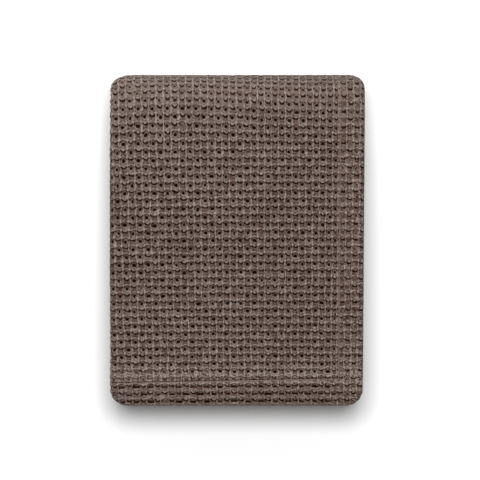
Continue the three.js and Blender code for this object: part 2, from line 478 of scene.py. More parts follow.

# %% [markdown]
# The honeycomb weave. Every second crossing of the lattice is a deep pit inside a ring of raised threads,
# and the crossings between are shallow hollows that lie under the lip of the pit behind them. The lattice
# was read off the photograph: its pitch, how it widens to one side, how its columns close up
# towards the front, and how its rows tip over the back fold, up on one side and down on the other.

# %% The weave's lattice
COLUMN_PITCH = 9.32 * MM
ROW_PITCH = 10.57 * MM
PIT_COLUMN = -1.417
PIT_ROW = 0.972
PULL_SPAN = 100 * MM
ROW_TIP = 0.36


def smooth(low, high, value):
    """0 below low and 1 above high, with the soft step 3t^2 - 2t^3 between."""
    t = np.clip((value - low) / (high - low), 0, 1)
    return t * t * (3 - 2 * t)


def lattice(across, along, rightness, rim):
    """Column and row number of a spot of the cloth, whole at a crossing.

    Both are the length over the pitch, plus small squares and products of the place that follow the
    cloth's pull, and the row has a sine across it over the back fold. The round corners cut the columns
    off and don't bend them, so what they draw in is taken off again."""
    y = EDGE_FRONT + along
    taper = RIGHT_TAPER * np.clip(EDGE_BACK - y, 0, FOLDED_LENGTH) / FOLDED_LENGTH
    corner = corner_insets(rim)
    x = EDGE_RIGHT - HEM_EDGE_ROUND - across - (taper + corner["right"]) * rightness
    x = x + corner["left"] * (1 - rightness)
    u = np.clip(x, EDGE_LEFT, EDGE_RIGHT) / PULL_SPAN
    v = np.clip(y, EDGE_FRONT, EDGE_BACK) / PULL_SPAN
    column = PIT_COLUMN + x / COLUMN_PITCH + 0.205 * u * u + 0.051 * v - 0.132 * u * v
    row = PIT_ROW - y / ROW_PITCH + 0.152 * v * v + 0.046 * u - 0.027 * u * u
    row = row - ROW_TIP * smooth(1.0, 1.9, v) * np.sin(1.5 * (u - 0.1))
    return column, row


def nearest_crossing(column, row, odd):
    """The nearest crossing whose numbers add up to an even (or odd) sum, and the way from it."""
    shifted = column + odd
    a, b = np.round((shifted + row) / 2), np.round((shifted - row) / 2)
    i, j = a + b - odd, a - b
    return i.astype(int), j.astype(int), column - i, row - j


print("a pair of cells in mm:", [round(2 * pitch / MM, 1) for pitch in (COLUMN_PITCH, ROW_PITCH)])

# %% [markdown]
# No two cells of the real cloth are alike, because its yarn is uneven. Tables of random numbers, one
# entry a crossing, hold how each pit differs, and are read softly between their entries where the yarn
# wanders. The generator starts from a fixed number, so the cloth comes out the same each time.

# %% Chance
TABLE = 128
chance = np.random.default_rng(41)
shift_table = chance.normal(0, 1, (2, TABLE, TABLE))
cell_table = chance.random((8, TABLE, TABLE))
grain_table = chance.normal(0, 1, (TABLE, TABLE))
CLOSED_FROM = 0.97


def wandering(table, column, row):
    """A table's values read between its entries, with soft steps, repeating past its ends."""
    i, j = np.floor(column).astype(int), np.floor(row).astype(int)
    a, b = smooth(0, 1, column - i), smooth(0, 1, row - j)
    near = table[j % TABLE, i % TABLE] * (1 - a) + table[j % TABLE, (i + 1) % TABLE] * a
    far = table[(j + 1) % TABLE, i % TABLE] * (1 - a) + table[(j + 1) % TABLE, (i + 1) % TABLE] * a
    return near * (1 - b) + far * b


closed_share = float(np.mean(cell_table[2] > CLOSED_FROM))
print("pits that the yarn nearly closes, in %:", round(100 * closed_share, 1))

# %% [markdown]
# The real relief comes from long floats of yarn that stand up in rings round each pit. They could be
# modelled thread by thread, but that takes millions of faces. Here each cell is one height over the
# cloth, made of three parts: pits, hollows and long threads. Ways are in cells, u across and v along,
# and heights are in millimetres. The bare numbers are shares of a cell, or of the light, matched one by
# one.
# A zone says from 0 to 1 how much the cloth is hemmed, sewn down, squashed flat or turned over a fold.

# %% Pits
WALL_FOOT = -1.15
WALL_RISE = 1.25
CORE_DEPTH = 2.05
RING_PITCH = 0.45
RING_RIPPLE = 0.16


def bell(value, width):
    """1 at zero, falling off on both sides as exp(-(value / width)^2)."""
    return np.exp(-((value / width) ** 2))


def pit_at(column, row, zone):
    """Where each spot lies in its pit, a crossing with an even sum, and the pit's height there.

    ring is a power mean of the ways across and along, each over the pit's half size, so it is 1 on the
    rim, and the pit is longer in front. front goes from 0 on the steep back wall to 1 on the broad tongue.
    core is 1 in the dark middle, and a hem fills it, squashed cloth widens it and a fold hides it.
    rings is a cosine of ring, a wave for each thread. The wall rises with ring and is cut by the core."""
    i, j, u, v = nearest_crossing(column, row, 0)
    size, fullness, closed, slant, aside, down, dull, pointed = cell_table[:, j % TABLE, i % TABLE]
    u = u + 0.16 * (slant - 0.5) * v
    w = v - 0.06
    power = 1.6 + 0.6 * pointed
    half_length = np.where(w > 0, 0.785, 0.59)
    ring = (np.abs(u / (0.56 + 0.06 * size)) ** power + np.abs(w / half_length) ** power) ** (1 / power)
    front = smooth(-0.20, 0.42, w)
    core_u = (u - 0.02 - 0.08 * (aside - 0.5)) * (1.12 - 0.37 * size)
    core_u = core_u * (1 - (0.45 + 0.25 * size) * zone.squashed)
    core_w = (w - 0.045 - 0.06 * (down - 0.5)) * (1 + 0.15 * zone.squashed)
    from_core = np.hypot(core_u, core_w)
    open_share = (1 - 0.7 * smooth(CLOSED_FROM, CLOSED_FROM + 0.02, closed)) * (1 - 0.62 * zone.hemmed)
    open_share = open_share * (1 - 0.45 * zone.turned ** 3)
    core = (1 - smooth(0.145, 0.27, from_core)) * open_share
    rings = np.cos(2 * math.pi * (ring - 1) / RING_PITCH) * smooth(0.25, 0.5, ring)
    wall = WALL_FOOT + 0.4 * (fullness - 0.5) + 0.65 * front
    wall = wall + (WALL_RISE - 0.25 * front) * smooth(0.35, 1.0, ring)
    return SimpleNamespace(
        u=u, v=v, ring=ring, front=front, from_core=from_core, core=core, rings=rings,
        fullness=fullness, aside=aside, down=down, dull=dull,
        height=wall - (CORE_DEPTH + wall) * core + RING_RIPPLE * rings,
    )


plain_zone = SimpleNamespace(hemmed=0.0, sewn=0.0, squashed=0.0, turned=0.0)
sample_column, sample_row = np.meshgrid(np.linspace(0, 8, 161), np.linspace(0, 8, 161))
sample_pit = pit_at(sample_column, sample_row, plain_zone)
print("floor of the deepest pit in mm:", round(float(sample_pit.height.min()), 2))

# %% Hollows
HOLLOW_FLOOR = -1.15
CRESCENT_DEPTH = 0.75


def hollow_at(column, row, zone):
    """Where each spot lies in its hollow, a crossing with an odd sum, and the hollow's height there.

    crescent is a bell of the way from a parabola that bends round the tongue behind it, cut off at both
    ends. A hem straightens it to a bar, a seam fills it, and over a fold it is broad and more bent. The
    floor is lowest in the hollow and at the crescent, and level with the threads beside it."""
    i, j, u, v = nearest_crossing(column, row, 1)
    filled = cell_table[2, j % TABLE, i % TABLE]
    beside = smooth(0.28, 0.46, np.abs(u))
    curve = 1.0 + 1.2 * zone.turned - 0.8 * zone.hemmed
    curve = curve * (1 - zone.turned + zone.turned * np.abs(u) / 0.3)
    width = 0.086 + 0.12 * np.abs(u) + 0.02 * zone.hemmed + 0.10 * zone.turned + 0.04 * zone.squashed
    crescent = bell(v + 0.005 + curve * (u - 0.08 + 0.06 * zone.turned) ** 2, width)
    wide = 0.05 + 0.03 * np.maximum(zone.turned, zone.squashed)
    crescent = crescent * (1 - smooth(0.38 + wide, 0.47 + wide, np.abs(u + 0.07)))
    crescent = crescent * (1 - 0.65 * zone.sewn)
    floor_height = HOLLOW_FLOOR - 0.5 * (filled - 0.5)
    return SimpleNamespace(
        u=u, v=v, filled=filled, beside=beside, crescent=crescent,
        height=floor_height * (1 - beside) - CRESCENT_DEPTH * crescent,
    )


sample_hollow = hollow_at(sample_column, sample_row, plain_zone)
print("floor of the deepest hollow in mm:", round(float(sample_hollow.height.min()), 2))

# %% Long threads and the whole height
KNOT_PLACE = 0.63
DIP_PLACE = 0.88
RIM_WIDTH = (1.02, 1.14)


def threads_at(row, pit, zone):
    """How much of a long thread each spot has, and how near it is to the thread's knot and its dip.

    A thread runs along, half a column to each side of a pit. Its line bows out by a cosine, gives way
    beside the pit's back and leans in from the left beside its front. Its share is a bell of the way
    from that line. Once a row it rises to a knot, more slowly on one side, and then dips."""
    u, v = pit.u, pit.v
    level = row - np.floor(row)
    rising = np.where(u * v > 0, 0.32, 0.19)
    knot = bell(level - KNOT_PLACE, np.where(level > KNOT_PLACE, 0.12, rising))
    dip = bell(level - DIP_PLACE, 0.09)
    pushed = np.where(u > 0, 0.06, 0.02) * bell(v + 0.2, 0.15)
    way = np.abs(u + pushed) - 0.5 - 0.045 * np.cos(math.pi * v)
    way = way - np.where(u < 0, 0.06, 0) * bell(v - 0.2, 0.22)
    width = 0.08 + 0.05 * knot - 0.015 * zone.turned + 0.045 * bell(v - 0.2, 0.15)
    return SimpleNamespace(share=bell(way, width), knot=knot, dip=dip)


def woven_height(pit, hollow, threads, zone):
    """The pit's height inside its rim and the hollow's outside, with the thread's own added.

    A hem's height is drawn closer to the face, because the cloth is double there and pushes up."""
    height = pit.height + (hollow.height - pit.height) * smooth(*RIM_WIDTH, pit.ring)
    height = height + threads.share * (0.18 + 0.75 * threads.knot - 0.35 * threads.dip)
    return height * (1 - 0.35 * zone.hemmed) + 0.25 * zone.hemmed


sample_threads = threads_at(sample_row, sample_pit, plain_zone)
sample_height = woven_height(sample_pit, sample_hollow, sample_threads, plain_zone)
print("relief in mm:", round(float(sample_height.min()), 2), "to", round(float(sample_height.max()), 2))

# %% [markdown]
# On the real cloth the pits are almost black, because light that falls in hardly finds a way out through
# the fuzzy yarn, and the fibres glow on the knots. Rendering that from geometry would need single fibres.
# So the light and shade that each spot gives back are worked out with its height, from the same parts,
# and painted into its colour: painted shade in the pits and crescents and beside the walls, painted
# highlights on the rims and knots. The material reads it as an attribute, so it stays with the cloth from
# any side.

# %% The light of pits and hollows
def pit_light(pit, zone):
    """The painted light that a pit gives back: a painted highlight most on its tongue in front, and painted
    shade that leaves none in its core.

    Behind, rings show, the rim has a painted highlight, most on the left, and the walls beside the core get
    painted shade, more so on the left. The tongue has a darker painted ring, and thin painted highlights on
    its rim and round the core."""
    u, v, ring, front = pit.u, pit.v, pit.ring, pit.front
    squashed, turned = zone.squashed, zone.turned
    behind = 1 - front
    # Painted light: brighter on the tongue in front, over a fold, squashed, on a hem and to one side.
    light = 0.44 + 0.18 * front + 0.08 * (turned + squashed + 0.7 * zone.hemmed + 1.5 * u) * behind
    ringed = (1 - 0.8 * squashed) * (1 - 0.8 * turned) * behind * (0.3 + 0.7 * smooth(0.6, 0.95, ring))
    tongue = 0.08 * bell(ring - 0.93, 0.09) - 0.14 * bell(ring - 0.58, 0.13)
    light = light * (1 + 0.20 * ringed * pit.rings + front * tongue)
    # A painted highlight on the rim behind, most on the left.
    rim = 0.26 * np.maximum(1 - 2.4 * u, 0) * (1 - 0.7 * turned) * bell(ring - 0.93, 0.12)
    light = light + rim * behind
    # Painted shade on the side walls and in the core, and a thin painted highlight round the core.
    side_wall = np.where(u < 0, 0.74, 0.40) * bell(v + 0.18, 0.12) * bell(np.abs(u) - 0.36, 0.13)
    core = (0.95 - (0.1 + 0.35 * pit.fullness) * squashed) * pit.core
    light = light * (1 - side_wall) * (1 - core) + 0.08 * front * bell(pit.from_core - 0.32, 0.07)
    # Painted shade on the flanks in front.
    flank = np.where(u < 0, 0.18, 0.12) * bell(np.abs(u) - 0.3, 0.1) * bell(v - 0.42, 0.13)
    return light * (1 - flank)


def hollow_light(hollow, zone):
    """The painted light that a hollow gives back: more beside it, over a fold and on a hem, and a painted
    shadow in its crescent.
    """
    light = 0.42 + 0.1 * hollow.beside + 0.08 * (hollow.filled - 0.5)
    light = light * (1 + 0.38 * zone.turned + 0.2 * zone.hemmed + 0.25 * zone.squashed)
    # The crescent is a painted shadow under the tongue of the pit behind.
    return light * (1 - 0.94 * hollow.crescent)


sample_light = pit_light(sample_pit, plain_zone)
print("light of pits:", round(float(sample_light.min()), 2), "to", round(float(sample_light.max()), 2))

# %% The light of the whole weave
CONTRAST = 1.4
EVEN_LIGHT = 0.50
DARKEST = 0.01
GIVEN_BACK = 0.465


def woven_light(pit, hollow, threads, zone):
    """The painted light of pits and hollows under that of the threads, made more contrasty by a power.

    A thread has a painted highlight on its knot and is duller in its dip, and each piece of it has a
    strength of its own. Squashed, it sinks into cores and crescents. A painted shade lies to the left
    behind each hollow's middle."""
    inside, outside = pit_light(pit, zone), hollow_light(hollow, zone)
    light = inside + (outside - inside) * smooth(*RIM_WIDTH, pit.ring)
    # A painted highlight on each knot.
    lit_knot = np.where(pit.u * pit.v > 0, 0.49, 0.63) * threads.knot
    lit_knot = lit_knot * (1 - 0.5 * zone.squashed - 0.75 * zone.turned)
    lit_thread = 0.59 + 0.10 * zone.turned + lit_knot - 0.20 * threads.dip * (1 - zone.turned)
    lit_thread = lit_thread * (0.84 + 0.30 * np.where(pit.u < 0, pit.down, pit.aside))
    shown = threads.share * (1 - 0.8 * zone.squashed * pit.core)
    shown = shown * (1 - 0.35 * zone.squashed * hollow.crescent)
    light = light + shown * (lit_thread - light)
    # A painted shade to the left behind each hollow's middle.
    shade = 0.2 * (1 - zone.turned) * bell(hollow.u + 0.37, 0.1) * bell(hollow.v + 0.12, 0.12)
    light = (np.maximum(light * (1 - shade), DARKEST) / EVEN_LIGHT) ** CONTRAST
    light = light * (1 - 0.09 * zone.squashed) * (1 - 0.05 * zone.hemmed)
    return GIVEN_BACK * light * (0.92 + 0.16 * pit.dull)


sample_light = woven_light(sample_pit, sample_hollow, sample_threads, plain_zone)
print("light of the weave:", round(float(sample_light.min()), 2), "to", round(float(sample_light.max()), 2))

# %% [markdown]
# A hem is the cloth turned under once and sewn. It is double there, which fills its pits and leaves short
# bars. The end hem was sewn a little askew, and its seam runs along a flat light band. Past that band the
# cells are open and round, and in front of it they are squashed by the fold of the hem.

# %% Zones of the cloth
HEM_WIDTH = 34 * MM
HEM_STEP = 3 * MM
SIDE_SEAM = 31.5 * MM
END_BAND = {"left": (27 * MM, 51 * MM), "right": (28 * MM, 37 * MM)}
BAND_STEP = 2 * MM
BAND_FILL = 0.9
TURN_BEGINS = (top_back - 40 * MM, top_back + 35 * MM)
TURN_ENDS = (fold_end - 35 * MM, fold_end + 40 * MM)


def askew(at_left, at_right, across):
    """A way along that changes evenly from the right side to the left one, as a hem's seam does."""
    return at_right + (at_left - at_right) * across / FOLDED_WIDTH


def zones(u, v):
    """How much the cloth is hemmed, sewn down, squashed and turned, by soft steps of its lengths u and v.

    grainy is how strongly the yarn's grain shows: more on hems, less over the back fold."""
    side_hem = 1 - smooth(HEM_WIDTH - HEM_STEP, HEM_WIDTH, u)
    band_first, band_last = (askew(END_BAND["left"][k], END_BAND["right"][k], u) for k in (0, 1))
    past = smooth(band_first - BAND_STEP, band_first + BAND_STEP, v)
    band = past * (1 - smooth(band_last - 2 * BAND_STEP, band_last + BAND_STEP, v))
    turned = smooth(*TURN_BEGINS, v) * (1 - smooth(*TURN_ENDS, v))
    return SimpleNamespace(
        hemmed=np.maximum(side_hem, BAND_FILL * band),
        sewn=np.maximum(bell(u - SIDE_SEAM, HEM_STEP), BAND_FILL * band),
        squashed=(1 - past) * (1 - 0.6 * side_hem),
        turned=turned,
        grainy=1 + 0.3 * side_hem + 0.4 * band - 0.4 * turned,
    )


front_zone = zones(FOLDED_WIDTH / 2, 20 * MM)
print("hemmed and squashed in front of the end seam:", front_zone.hemmed, round(front_zone.squashed, 2))

# %% Seams in the weave
END_SEAM = {"left": 29.3 * MM, "right": 36.5 * MM}
SEAM_GROOVE = 1.0 * MM
# Where the painted shade line past the end seam lies, and how wide it is.
DARK_LINE = (1.7 * MM, 0.8 * MM)


def seam_marks(u, v):
    """How much of a seam's narrow groove, and of the painted shade line past the end seam, is at each spot.

    Each is a bell of the way from the seam. Neither seam goes on into the corner past the other."""
    past_seam = v - askew(END_SEAM["left"], END_SEAM["right"], u)
    at_side = np.where(past_seam > -SEAM_GROOVE, bell(u - SIDE_SEAM, SEAM_GROOVE), 0)
    within = u > SIDE_SEAM - SEAM_GROOVE
    at_end = np.where(within, bell(past_seam, SEAM_GROOVE), 0)
    beside = np.where(within, bell(past_seam - DARK_LINE[0], DARK_LINE[1]), 0)
    return np.maximum(at_side, at_end), beside


marks_on_seam = seam_marks(SIDE_SEAM, 200 * MM)
print("groove and dark line on the side seam:", [round(float(mark), 2) for mark in marks_on_seam])

# %% [markdown]
# Now the face of the cloth in all its places. The lattice wanders a little from cell to cell, a fine
# grain of slubs lies over everything, and a slow painted light makes the middle of the top duller and the
# back fold brighter. Where cloth lies on cloth or on the floor, the ridges are pressed flat, so a lower
# relief is clipped at its top.

# %% Crispness and painted light
CRISPNESS = 0.8
BULGE_WIDTH = 45 * MM


def softer(values):
    """Each value mixed with its neighbours in the rows before and after, 0.36 to 0.32 and 0.32."""
    padded = np.pad(values, ((1, 1), (0, 0)), mode="edge")
    return 0.32 * (padded[:-2] + padded[2:]) + 0.36 * values


def crisper(values):
    """Values with every step made sharper: each moves away from the mean of its neighbours."""
    return values + 2 * CRISPNESS * (values - softer(softer(values).T).T)


def painted_slow_light(across, along):
    """A slow painted light over the cloth: duller in the middle of the top, brighter over the back fold.

    It is a bell along the bulge of that fold, another one at the middle, and slopes from side to side."""
    u = (EDGE_RIGHT - across) / PULL_SPAN
    v = np.clip(EDGE_FRONT + along, EDGE_FRONT, EDGE_BACK) / PULL_SPAN
    back = smooth(0.4, 1.9, v)
    bulge = bell(along - (top_back + fold_end) / 2, BULGE_WIDTH)
    return 1.01 - 0.06 * bell(v + 0.1, 0.7) - 0.022 * u + back * (0.04 - 0.05 * u) + 0.24 * bulge


# The slow painted light on the back fold, at the far left.
painted_light_at_back = painted_slow_light(FOLDED_WIDTH, (top_back + fold_end) / 2)
print("light of the nap on the back fold, far left:", round(float(painted_light_at_back), 2))

# %% The woven face of the cloth
WANDERINGS = ((1.0, 0.045, 0.03), (2.3, 0.05, 0.025))
GRAIN_SHARES = ((6.1, 6.3, 0.23), (3.3, 3.7, 0.15))
GROOVE_HEIGHT = -0.45
# Where a stretch of painted light lies past the end seam, and how wide it is.
BRIGHT_STRETCH = (41 * MM, 14 * MM)
# The painted highlight on the cloth's rounded end: where it fades, and how bright it is.
END_RIM = (1.5 * MM, 3.5 * MM)
RIM_LIGHT = 0.52
PRESSED = 1.15 * MM
RELIEF_TOP = 1.3 * MM
RELIEF_FLOOR = -2.0 * MM


def weave(column, row, zone):
    """Height in millimetres and painted light of the weave, with the yarn's grain: two tables finer than a
    cell.
    """
    pit, hollow = pit_at(column, row, zone), hollow_at(column, row, zone)
    threads = threads_at(row, pit, zone)
    height = woven_height(pit, hollow, threads, zone)
    light = woven_light(pit, hollow, threads, zone)
    for columns, rows, share in GRAIN_SHARES:
        grain = wandering(grain_table, columns * column + 0.3, rows * row)
        light = light * np.clip(1 + share * grain * zone.grainy, 0.2, 2)
        height = height + 0.5 * share * grain
    return height, light


def relief(across, along, rightness, rim, pressed):
    """The woven height for a grid of arc lengths, the painted light it gives back, and its lattice numbers.

    The side hem's edge bends the columns. Each seam is a light groove, with a line of painted shade beside
    it and a painted bright stretch past it, and the cloth's end has a painted highlight on its rim. Pressed
    cloth is lowered and clipped."""
    u, v = across[None, :], along[:, None]
    column, row = lattice(u, v, rightness[None, :], rim[:, None])
    column = column + 0.18 * bell(u - HEM_WIDTH, HEM_STEP)
    for spread, sideways, lengthways in WANDERINGS:
        aside = wandering(shift_table[0], spread * column, spread * row)
        down = wandering(shift_table[1], spread * column, spread * row)
        column, row = column + sideways * aside, row + lengthways * down
    height, light = weave(column, row, zones(u, v))
    groove, beside = seam_marks(u, v)
    height = height + (GROOVE_HEIGHT - height) * groove
    light = light + (GIVEN_BACK - light) * 0.6 * groove
    # A painted shade line beside the end seam, and painted light on the stretch past it.
    light = light * (1 - 0.6 * beside) * (1 + 0.34 * bell(v - BRIGHT_STRETCH[0], BRIGHT_STRETCH[1]))
    # A painted highlight on the cloth's rounded end.
    at_rim = 1 - smooth(*END_RIM, v)
    light = light + (RIM_LIGHT - light) * 0.6 * at_rim
    # The slow painted light over the whole cloth, then every step made sharper.
    light = crisper(light * painted_slow_light(u, v))
    height = np.clip(height * MM - PRESSED * pressed, RELIEF_FLOOR, RELIEF_TOP - PRESSED * pressed)
    return height, light, column, row


sample_height, sample_light = weave(sample_column, sample_row, zones(FOLDED_WIDTH / 2, 200 * MM))
print("relief with grain in mm:", [round(float(v), 2) for v in (sample_height.min(), sample_height.max())])

# %% [markdown]
# A closed skin has its woven face as a grid, a plain grid a little behind it, and walls round the rim, so
# that it is a piece of cloth with a thickness and not a paper-thin film. Displacement in the material
# would give the same picture, but then the relief would be missing from the mesh and from an export. The
# back needs few columns, because it only follows the slow shape of the folds.

# %% Rims and faces of a skin
EDGE_FADE = 2.2 * MM
EDGE_DROP = 1.6 * MM


def rim_drop(distance):
    """How much lower a hem's round edge lies: EDGE_DROP * (1 - sqrt(1 - t^2)), t being 1 on the rim."""
    t = np.clip(1 - distance / EDGE_FADE, 0, 1)
    return EDGE_DROP * (1 - np.sqrt(1 - t ** 2))


def skin_blocks(rows, columns, back_columns):
    """The faces of a closed skin: the woven face, the back, a wall on each side and a face at each end."""
    face = np.arange(rows * columns).reshape(rows, columns)
    back = face.size + np.arange(rows * back_columns).reshape(rows, back_columns)
    start = np.concatenate([face[0], back[0][::-1]])
    end = np.concatenate([face[-1][::-1], back[-1]])
    return [
        (quads(face), 4),
        (quads(back, flipped=True), 4),
        (quads(np.stack([face[:, 0], back[:, 0]], axis=1)), 4),
        (quads(np.stack([face[::-1, -1], back[::-1, -1]], axis=1)), 4),
        (start[None, :], len(start)),
        (end[None, :], len(end)),
    ]


drops = [round(float(rim_drop(distance)) / MM, 2) for distance in (0, MM, EDGE_FADE)]
print("a hem's round edge, on its rim, 1 mm in and at its end, is lower by mm:", drops)

# %% A woven skin
SKIN_BACK = -2.12 * MM
BACK_SPACING = 16
FEWEST_BACK_COLUMNS = 5
BACK_LIFT = 0.1 * MM
TONE_RANGE = 1.4


def woven_skin(name, across, along, pressed, rounded=(), lengths=fine_along):
    """A closed skin over a stretch of the cloth's face, with its woven relief.

    rounded names the rims that end in a hem's round edge: "hem" across and "end" along. lengths says at
    which height of the strip the way along is measured. In a turn the relief is a little lower."""
    places = resampled(fine_places, fine_across, across)
    stations = resampled(fine_stations, lengths, along)
    height, light, column, row = relief(across, along, places["rightness"], stations["rim"], pressed)
    height = height * (0.5 + 0.5 * np.abs(places["height_by"]))[None, :]
    height = height * (0.5 + 0.5 * np.abs(stations["z_by"]))[:, None]
    sink = 0
    if "hem" in rounded:
        sink = sink + rim_drop(across)[None, :]
    if "end" in rounded:
        sink = sink + rim_drop(along)[:, None]
    height = np.maximum(height - sink, RELIEF_FLOOR)
    reach = np.hypot(places["inset_by"], places["height_by"])[None, :]
    face = cloth_points(places, stations, HALF_SHEET + height / reach)
    face[..., 2] = np.maximum(face[..., 2], 0)
    rows, columns = height.shape
    kept_count = FEWEST_BACK_COLUMNS + columns // BACK_SPACING
    kept = np.unique(np.round(np.linspace(0, columns - 1, kept_count)).astype(int))
    back_places = {key: values[kept] for key, values in places.items()}
    back = cloth_points(back_places, stations, HALF_SHEET + SKIN_BACK / reach[:, kept])
    back[..., 2] = np.maximum(back[..., 2], BACK_LIFT)
    points = np.concatenate([face.reshape(-1, 3), back.reshape(-1, 3)])
    uv = np.stack([column, row], axis=-1)
    uv = np.concatenate([uv.reshape(-1, 2), uv[:, kept].reshape(-1, 2)])
    # The weave's painted light and shade, scaled to the tone that the colour ramp reads.
    tone_and_painted_light = np.clip(light / TONE_RANGE, 0, 1)
    tone_and_painted_light = np.concatenate([tone_and_painted_light.ravel(), np.zeros(rows * len(kept))])
    piece = new_piece(name, points, skin_blocks(rows, columns, len(kept)), uv, tone_and_painted_light)
    print(name, "triangles:", 2 * rows * (columns + len(kept)), "rows", rows, "columns", columns)
    return piece


print("a skin's back lies behind the face by mm:", round(-SKIN_BACK / MM, 2))

# %% [markdown]
# The top is what the photograph shows, so it gets twelve points a cell across and thirteen along, and is
# cut in three to keep every piece light. Neighbours share the column of points that they meet in, so no
# gap shows. It goes on round the left fold and ends a little past it, where the layers press together.

# %% Skins of the top
COLUMN_STEP = COLUMN_PITCH / 12
ROW_STEP = ROW_PITCH / 13
END_ROW_STEP = 1.2 * MM
OVERLAP = 5 * MM
PRESS_FROM, PRESS_TO = 22 * MM, 32 * MM


def pressed_on_left(columns):
    """0 on the top and round the left fold's upper part, 1 further round it, with a soft step between."""
    return smooth(wrap_start + PRESS_FROM, wrap_start + PRESS_TO, columns)[None, :]


skin_left = wrap_end + OVERLAP
first_third = COLUMN_STEP * round(skin_left / 3 / COLUMN_STEP)
second_third = 2 * first_third
end_rows = END_ROUND * (1 - np.cos(spaced(0, math.pi / 2, END_ROW_STEP / END_ROUND)))
top_rows = np.concatenate([end_rows, spaced(END_ROUND, top_back, ROW_STEP)[1:]])
right_columns = spaced(0, first_third, COLUMN_STEP)
middle_columns = spaced(first_third, second_third, COLUMN_STEP)
left_columns = spaced(second_third, skin_left, COLUMN_STEP)
press_left = pressed_on_left(left_columns)
skins = [
    woven_skin("bedspread_top_right", right_columns, top_rows, 0, rounded=("hem", "end")),
    woven_skin("bedspread_top_middle", middle_columns, top_rows, 0, rounded=("end",)),
    woven_skin("bedspread_top_left", left_columns, top_rows, press_left, rounded=("end",)),
]

# %% [markdown]
# The round fold at the back is one curve from the top to the underside. Its upper half is seen from
# above, so it is finer than its lower half. Both meet in one row of the cloth, half way round.

# %% Skins of the back fold
back_middle = (top_back + fold_end) / 2
for name, step, first, last in (
    ("bedspread_back_upper", 0.9 * MM, top_back, back_middle),
    ("bedspread_back_lower", 1.6 * MM, back_middle, fold_end),
):
    columns = spaced(0, skin_left, step)
    rows = spaced(first, last, step)
    skins.append(woven_skin(name, columns, rows, pressed_on_left(columns), rounded=("hem",)))

# %% [markdown]
# The other places where the cloth shows: the underside, the two soft folds in front, and the folded sides
# of every run. They are seen at a slant or not at all, so their steps are coarser. Ridges are pressed
# flat where a fold touches the next one, and round out between.

# %% Skins of the underside and the front folds
UNDER_STEP = 2.2 * MM
FRONT_STEP = 1.3 * MM


def pressed_at_ends(count):
    """1 at both ends of a fold and 0 on its bulge: 1 less the root of a sine from end to end."""
    return 1 - np.sin(np.linspace(0, math.pi, count))[:, None] ** 0.5


under_columns = spaced(0, wrap_start, UNDER_STEP)
under_rows = spaced(fold_end, under_front, UNDER_STEP)
front_rows = spaced(under_front, front_fold_end, FRONT_STEP)
front_columns = spaced(0, wrap_start, FRONT_STEP)
front_press = pressed_at_ends(len(front_rows))
skins.append(woven_skin("bedspread_underside", under_columns, under_rows, 1, rounded=("hem",)))
skins.append(woven_skin("bedspread_front_lower", front_columns, front_rows, front_press, rounded=("hem",)))

second_turn, second_turn_end = along_range(3.5, fine_inner)
second_rows = spaced(second_turn, second_turn_end, FRONT_STEP)
second_columns = spaced(wrap_end, right_start, FRONT_STEP)
skins.append(woven_skin(
    "bedspread_front_upper", second_columns, second_rows, pressed_at_ends(len(second_rows)),
    lengths=fine_inner,
))

# %% Skins of the two sides
SIDE_COLUMN_STEP = 1.35 * MM
SIDE_ROW_STEP = 1.8 * MM


def touching(across, first, last):
    """1 near the first and last place of a fold, where it lies on its neighbours, and 0 on its bulge."""
    t = np.clip((across - first) / (last - first), 0, 1)
    return (1 - smooth(0.10, 0.32, t) * (1 - smooth(0.68, 0.90, t)))[None, :]


for name, first, last, first_row in (
    ("bedspread_left_side", wrap_start, wrap_end, fine_middle[first_straight]),
    ("bedspread_right_side", right_start - OVERLAP, right_end + OVERLAP, fine_middle[0]),
):
    columns = spaced(first, last, SIDE_COLUMN_STEP)
    rows = spaced(first_row, fine_middle[-1], SIDE_ROW_STEP)
    skins.append(woven_skin(name, columns, rows, touching(columns, first, last), lengths=fine_middle))

# %% [markdown]
# Two seams hold the hems: a line of lockstitches along the side hem and another along the end hem. They
# lie in the grooves that they pull into the cloth. A stitch could be one bead copied by an array modifier,
# but a seam bends round the folds, so all stitches of a seam are one array of points, each turned to its
# own direction: six rings of eight points, drawn in at both ends and arched over the cloth.

# %% Stitches
STITCH_LENGTH = 4.2 * MM
STITCH_RADIUS = 0.5 * MM
STITCH_SHARE = 0.46
STITCH_LIFT, STITCH_ARCH = 0.25 * MM, 0.35 * MM
STITCH_STAGES = np.array([-1.0, -0.8, -0.3, 0.3, 0.8, 1.0])
STITCH_WIDTHS = np.array([0.25, 0.8, 1.0, 1.0, 0.8, 0.25])
ROUND_POINTS = 8
THREAD_TONE = 0.62


